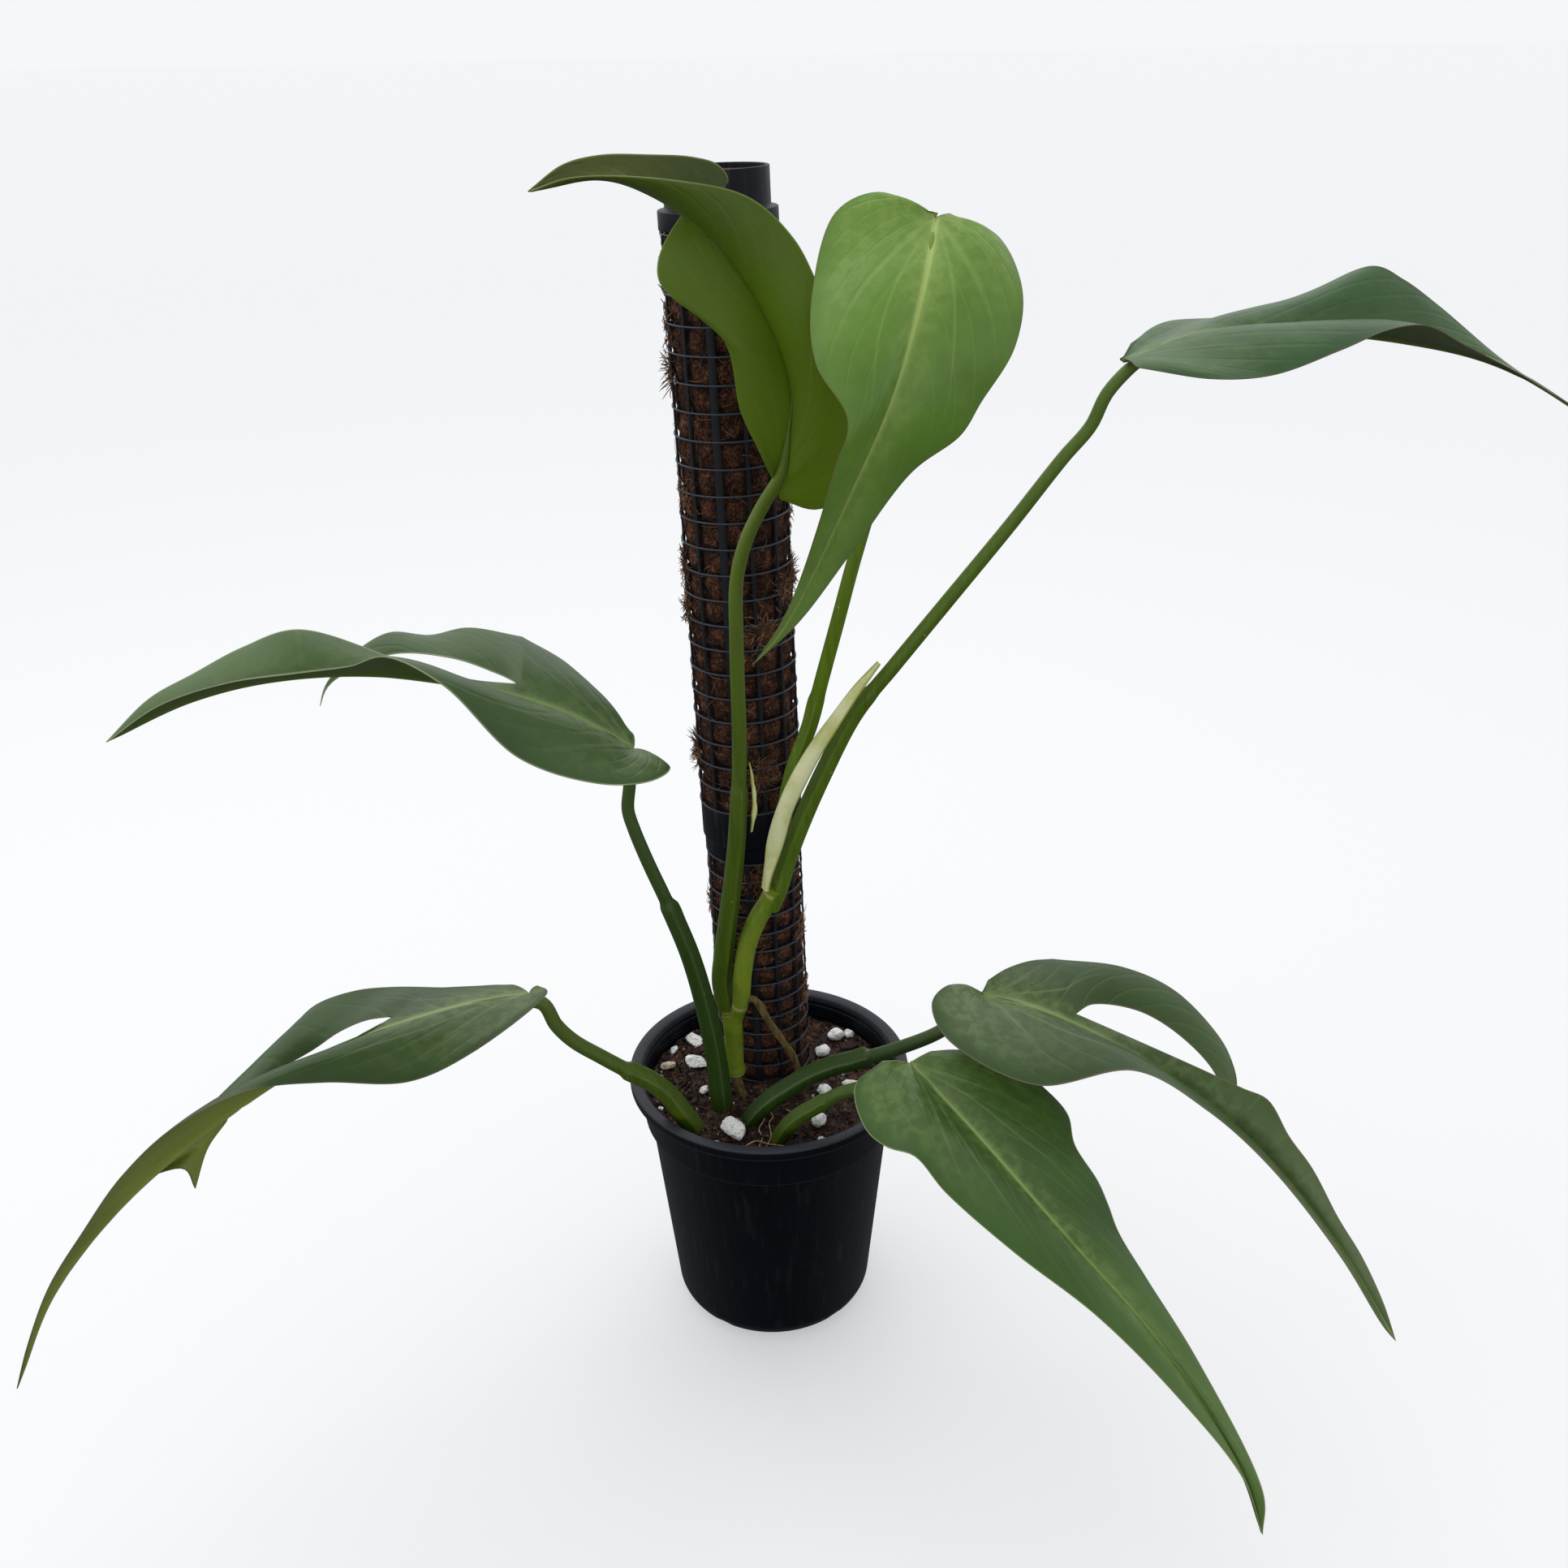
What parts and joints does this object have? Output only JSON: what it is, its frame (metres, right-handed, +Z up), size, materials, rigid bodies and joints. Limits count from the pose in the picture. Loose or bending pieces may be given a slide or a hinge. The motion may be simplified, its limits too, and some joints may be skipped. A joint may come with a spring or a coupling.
{
  "type": "potted burle marx flame monstera",
  "caption": "Climbing houseplant with long arching split leaves on winged stalks, tied to a coir-filled net pole that stands in a round plastic nursery pot of potting mix.",
  "frame": {"origin": "middle of the pot's flat underside", "axes": "+Z up, +X to the viewer's right, -Y towards the viewer in front of the plant"},
  "size_m": [0.8176, 0.3401, 0.6764],
  "materials": {
    "pot_plastic": "satin",
    "potting_mix": "crumbly",
    "perlite": "rough",
    "bark": "rough",
    "coir": "fibrous",
    "net_plastic": "satin",
    "pole_plastic": "satin",
    "stem": "waxy",
    "leaf": "waxy",
    "sheath": "dry"
  },
  "bodies": {
    "root": {"pot": "pot_plastic", "soil": "potting_mix", "perlite_01": "perlite", "perlite_02": "perlite", "perlite_03": "perlite", "perlite_04": "perlite", "perlite_05": "perlite", "perlite_06": "perlite", "perlite_07": "perlite", "perlite_08": "perlite", "perlite_09": "perlite", "perlite_10": "perlite", "perlite_11": "perlite", "perlite_12": "perlite", "perlite_13": "perlite", "perlite_14": "perlite", "perlite_15": "perlite", "perlite_16": "perlite", "bark_1": "bark", "bark_2": "bark", "bark_3": "bark", "bark_4": "bark", "pole_fill_lower": "coir", "pole_fill_upper": "coir", "pole_net_lower": "net_plastic", "pole_net_upper": "net_plastic", "pole_coupler": "pole_plastic", "pole_top_collar": "pole_plastic", "stem": "stem", "leaf_1": "leaf", "leaf_2": "leaf", "leaf_3": "leaf", "leaf_4": "leaf", "leaf_5": "leaf", "leaf_6": "leaf", "leaf_7": "leaf", "sheath_1": "sheath", "sheath_3": "sheath"}
  },
  "joints": []
}
